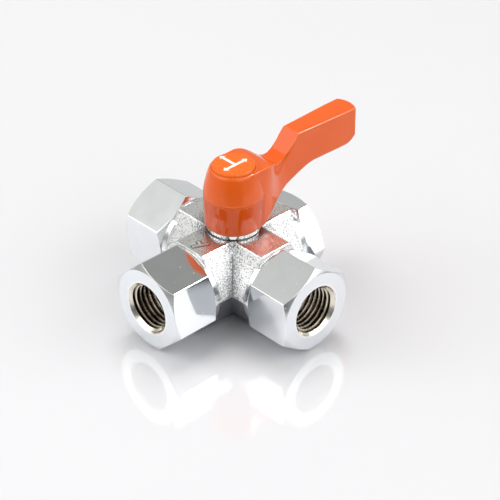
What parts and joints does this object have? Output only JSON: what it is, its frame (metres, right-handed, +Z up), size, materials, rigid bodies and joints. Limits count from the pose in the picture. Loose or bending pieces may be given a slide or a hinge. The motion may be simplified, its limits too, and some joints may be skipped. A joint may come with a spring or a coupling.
{
  "type": "three way ball valve",
  "caption": "Compact lever-operated three way ball valve: forged cross body, hexagonal threaded ports, a blind plug and an angled orange lever with a flow arrow on its cap.",
  "frame": {"origin": "where the axes of the ports and the stem cross, at the centre of the ball", "axes": "+Z up along the stem, -Y out of the front port, +X out of the right port, -X out of the left port, +Y towards the blind plug and, at rest, along the lever"},
  "size_m": [0.0588, 0.0702, 0.0429],
  "materials": {
    "plated_forging": "nickel-chrome plate over a sand-textured forging",
    "bright_chrome": "polished chrome plate",
    "orange_paint": "gloss orange coating on a zinc die casting",
    "orange_cap": "gloss moulded plastic",
    "brass": "machined",
    "ptfe": "turned PTFE",
    "seal_rubber": "moulded nitrile rubber",
    "steel": "zinc-plated steel"
  },
  "bodies": {
    "body": {"valve_body": "plated_forging", "front_port_end": "bright_chrome", "right_port_end": "bright_chrome", "left_port_end": "bright_chrome", "blind_plug": "bright_chrome", "gland_nut": "bright_chrome", "gland_o_ring": "seal_rubber", "thrust_washer": "ptfe", "front_ball_seat": "ptfe", "right_ball_seat": "ptfe", "left_ball_seat": "ptfe", "back_ball_seat": "ptfe", "front_o_ring": "seal_rubber", "right_o_ring": "seal_rubber", "left_o_ring": "seal_rubber", "back_o_ring": "seal_rubber"},
    "handle": {"lever_handle": "orange_paint", "indicator_cap": "orange_cap", "handle_screw": "steel", "spring_washer": "steel", "stem": "brass", "stem_o_ring_lower": "seal_rubber", "stem_o_ring_upper": "seal_rubber", "ball": "bright_chrome"}
  },
  "joints": [
    {"name": "handle_turn", "type": "hinge", "parent": "body", "child": "handle", "pos_m": [0, 0, 0], "axis": [0, 0, 1], "continuous": true}
  ]
}
